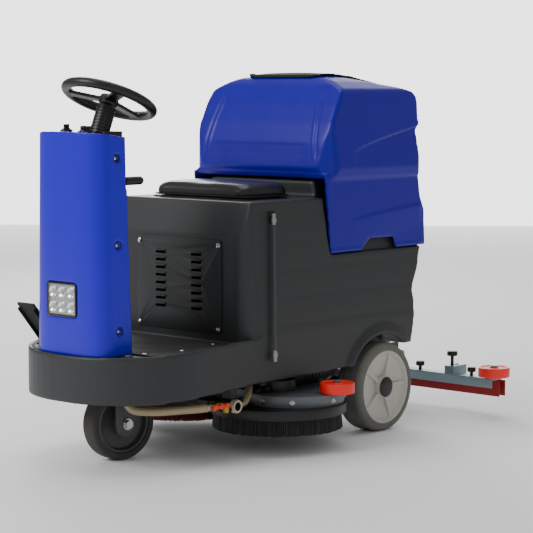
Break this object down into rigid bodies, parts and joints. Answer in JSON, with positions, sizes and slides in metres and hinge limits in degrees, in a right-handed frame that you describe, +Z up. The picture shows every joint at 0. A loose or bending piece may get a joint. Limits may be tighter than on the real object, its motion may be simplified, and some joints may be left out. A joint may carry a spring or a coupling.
{
  "type": "ride-on floor scrubber",
  "caption": "Ride-on floor scrubber with a steered front wheel, disc brush deck, rear squeegee, seat over the body and a tilting recovery tank.",
  "frame": {"origin": "centre of the bounding box at floor level", "axes": "+Z up, -Y the way the machine drives, +X the driver's left"},
  "size_m": [0.844, 1.475, 1.025],
  "materials": {
    "frame_steel": "satin black paint",
    "body_grey": "fine grain moulded polyethylene",
    "mat_rubber": "matt",
    "screw_steel": "zinc plated",
    "panel_grey": "fine grain",
    "column_blue": "gloss paint",
    "dash_black": "satin",
    "bronze": "sintered bronze",
    "chain_steel": "oiled",
    "lamp_black": "gloss",
    "lens": "clear",
    "box_black": "satin",
    "battery_case": "satin",
    "motor_case": "satin",
    "clear_tube": "clear",
    "fitting_grey": "satin",
    "hose_beige": "semi gloss",
    "brass": "machined",
    "red_plastic": "gloss",
    "transaxle_grey": "cast and painted",
    "actuator_grey": "satin",
    "bracket_steel": "zinc plated",
    "black_plastic": "satin",
    "seat_plastic": "satin",
    "seat_vinyl": "grained vinyl",
    "tank_blue": "satin moulded polyethylene",
    "lid_black": "satin",
    "wheel_black": "soft grip",
    "shaft_steel": "turned",
    "fork_steel": "satin paint",
    "front_tyre": "worn grey",
    "front_rim": "satin",
    "rear_tyre": "grey non marking",
    "rear_rim": "satin",
    "deck_steel": "grey paint",
    "skirt_black": "semi gloss",
    "motor_steel": "satin paint",
    "brush_black": "nylon bristles",
    "brush_red": "nylon bristles",
    "roller_red": "polyurethane",
    "arm_steel": "satin paint",
    "channel_grey": "grey coated casting",
    "blade_red": "matt",
    "knob_black": "satin",
    "caster_black": "matt"
  },
  "bodies": {
    "chassis": {"chassis_frame": "frame_steel", "body_shell": "body_grey", "footboard_mat": "mat_rubber", "body_screws": "screw_steel", "louvre_panel": "panel_grey", "column_cover": "column_blue", "column_frame": "frame_steel", "dashboard": "dash_black", "steering_sleeve": "dash_black", "steering_bearings": "bronze", "steering_chain": "chain_steel", "headlight_housing": "lamp_black", "headlight_lens": "lens", "control_box": "box_black", "battery_pack": "battery_case", "vacuum_motor": "motor_case", "sight_tube": "clear_tube", "sight_fittings": "fitting_grey", "supply_hose": "hose_beige", "supply_valve": "brass", "supply_filter": "box_black", "transaxle": "transaxle_grey", "deck_actuator": "actuator_grey", "hinge_brackets": "bracket_steel"},
    "tap_handle": {"valve_handle": "red_plastic"},
    "pedal": {"accelerator_pedal": "black_plastic"},
    "lever": {"direction_lever": "black_plastic"},
    "key": {"key_switch": "black_plastic"},
    "speed": {"speed_knob": "black_plastic"},
    "stop": {"stop_button": "red_plastic"},
    "seat": {"seat_base": "seat_plastic", "seat_cushion": "seat_vinyl"},
    "tank": {"recovery_tank": "tank_blue"},
    "lid": {"tank_lid": "lid_black"},
    "steering": {"steering_wheel": "wheel_black", "steering_shaft": "shaft_steel"},
    "column_shaft": {"lower_shaft": "shaft_steel"},
    "fork": {"front_fork": "fork_steel", "front_axle": "screw_steel"},
    "front_wheel": {"front_tyre": "front_tyre", "front_rim": "front_rim"},
    "rear_wheel_left": {"rear_tyre_left": "rear_tyre", "rear_rim_left": "rear_rim"},
    "rear_wheel_right": {"rear_tyre_right": "rear_tyre", "rear_rim_right": "rear_rim"},
    "deck": {"brush_deck": "deck_steel", "splash_band": "skirt_black", "brush_motors": "motor_steel"},
    "left_brush": {"brush_left": "brush_black"},
    "right_brush": {"brush_right": "brush_red"},
    "left_deck_roller": {"deck_roller_left": "roller_red"},
    "right_deck_roller": {"deck_roller_right": "roller_red"},
    "arm": {"squeegee_arm": "arm_steel"},
    "squeegee": {"squeegee_channel": "channel_grey", "squeegee_blades": "blade_red", "squeegee_knobs": "knob_black"},
    "left_squeegee_roller": {"squeegee_roller_left": "roller_red"},
    "right_squeegee_roller": {"squeegee_roller_right": "roller_red"},
    "left_caster": {"squeegee_caster_left": "caster_black"},
    "right_caster": {"squeegee_caster_right": "caster_black"}
  },
  "joints": [
    {"name": "fork_steer", "type": "hinge", "parent": "chassis", "child": "fork", "pos_m": [0, -0.5275, 0.15], "axis": [0, 0, 1], "range_deg": [-65, 85]},
    {"name": "steering_wheel_turn", "type": "hinge", "parent": "chassis", "child": "steering", "pos_m": [0, -0.5545, 0.948], "axis": [0, 0.3859, 0.9225], "range_deg": [-130, 170]},
    {"name": "lower_shaft_turn", "type": "hinge", "parent": "chassis", "child": "column_shaft", "pos_m": [0, -0.61641, 0.5], "axis": [0, 0, 1], "range_deg": [-130, 170]},
    {"name": "front_wheel_spin", "type": "hinge", "parent": "fork", "child": "front_wheel", "pos_m": [0, -0.5275, 0.098], "axis": [0.9848, -0.1736, 0], "continuous": true},
    {"name": "rear_wheel_left_spin", "type": "hinge", "parent": "chassis", "child": "rear_wheel_left", "pos_m": [0.236, 0.2655, 0.127], "axis": [1, 0, 0], "continuous": true},
    {"name": "rear_wheel_right_spin", "type": "hinge", "parent": "chassis", "child": "rear_wheel_right", "pos_m": [-0.236, 0.2655, 0.127], "axis": [1, 0, 0], "continuous": true},
    {"name": "deck_lift", "type": "slide", "parent": "chassis", "child": "deck", "axis": [0, 0, 1], "range_m": [-0.052, 0]},
    {"name": "brush_left_spin", "type": "hinge", "parent": "deck", "child": "left_brush", "pos_m": [0.1815, -0.0965, 0.11], "axis": [0, 0, 1], "continuous": true},
    {"name": "brush_right_spin", "type": "hinge", "parent": "deck", "child": "right_brush", "pos_m": [-0.1815, -0.0965, 0.11], "axis": [0, 0, 1], "continuous": true},
    {"name": "deck_roller_left_spin", "type": "hinge", "parent": "deck", "child": "left_deck_roller", "pos_m": [0.345, -0.0375, 0.17], "axis": [0, 0, 1], "continuous": true},
    {"name": "deck_roller_right_spin", "type": "hinge", "parent": "deck", "child": "right_deck_roller", "pos_m": [-0.345, -0.0375, 0.17], "axis": [0, 0, 1], "continuous": true},
    {"name": "squeegee_lift", "type": "hinge", "parent": "chassis", "child": "arm", "pos_m": [0, 0.3855, 0.19], "axis": [-1, 0, 0], "range_deg": [0, 12]},
    {"name": "squeegee_swing", "type": "hinge", "parent": "arm", "child": "squeegee", "pos_m": [0, 0.6105, 0.19], "axis": [0, 0, 1], "range_deg": [-20, 20]},
    {"name": "squeegee_roller_left_spin", "type": "hinge", "parent": "squeegee", "child": "left_squeegee_roller", "pos_m": [0.375, 0.6655, 0.135], "axis": [0, 0, 1], "continuous": true},
    {"name": "squeegee_roller_right_spin", "type": "hinge", "parent": "squeegee", "child": "right_squeegee_roller", "pos_m": [-0.375, 0.6655, 0.135], "axis": [0, 0, 1], "continuous": true},
    {"name": "caster_left_spin", "type": "hinge", "parent": "squeegee", "child": "left_caster", "pos_m": [0.211, 0.7195, 0.09], "axis": [1, 0, 0], "continuous": true},
    {"name": "caster_right_spin", "type": "hinge", "parent": "squeegee", "child": "right_caster", "pos_m": [-0.211, 0.7195, 0.09], "axis": [1, 0, 0], "continuous": true},
    {"name": "seat_hinge", "type": "hinge", "parent": "chassis", "child": "seat", "pos_m": [0, -0.0175, 0.683], "axis": [-1, 0, 0], "range_deg": [0, 80]},
    {"name": "tank_tilt", "type": "hinge", "parent": "chassis", "child": "tank", "pos_m": [-0.262, 0.2655, 0.508], "axis": [0, -1, 0], "range_deg": [0, 75]},
    {"name": "lid_hinge", "type": "hinge", "parent": "tank", "child": "lid", "pos_m": [0, 0.4345, 0.975], "axis": [-1, 0, 0], "range_deg": [0, 100]},
    {"name": "pedal_press", "type": "hinge", "parent": "chassis", "child": "pedal", "pos_m": [-0.18, -0.6025, 0.314], "axis": [1, 0, 0], "range_deg": [0, 16], "stiffness_Nm_per_rad": 2, "springref_deg": -11.46},
    {"name": "direction_lever_rock", "type": "hinge", "parent": "chassis", "child": "lever", "pos_m": [0.092, -0.6345, 0.74], "axis": [1, 0, 0], "range_deg": [-12, 12]},
    {"name": "key_turn", "type": "hinge", "parent": "chassis", "child": "key", "pos_m": [-0.058, -0.6515, 0.87], "axis": [0, 0, 1], "range_deg": [0, 90]},
    {"name": "speed_knob_turn", "type": "hinge", "parent": "chassis", "child": "speed", "pos_m": [0.014, -0.6515, 0.87], "axis": [0, 0, 1], "range_deg": [-135, 135]},
    {"name": "stop_button_press", "type": "slide", "parent": "chassis", "child": "stop", "axis": [0, -1, 0], "range_m": [0, 0.006], "stiffness_N_per_m": 400, "springref_m": -0.005},
    {"name": "tap_turn", "type": "hinge", "parent": "chassis", "child": "tap_handle", "pos_m": [0.234, -0.3852, 0.148], "axis": [1, 0, 0], "range_deg": [0, 90]}
  ],
  "couplings": [
    {"joint": "steering_wheel_turn", "follows": "fork_steer", "ratio": 2},
    {"joint": "lower_shaft_turn", "follows": "fork_steer", "ratio": 2}
  ]
}
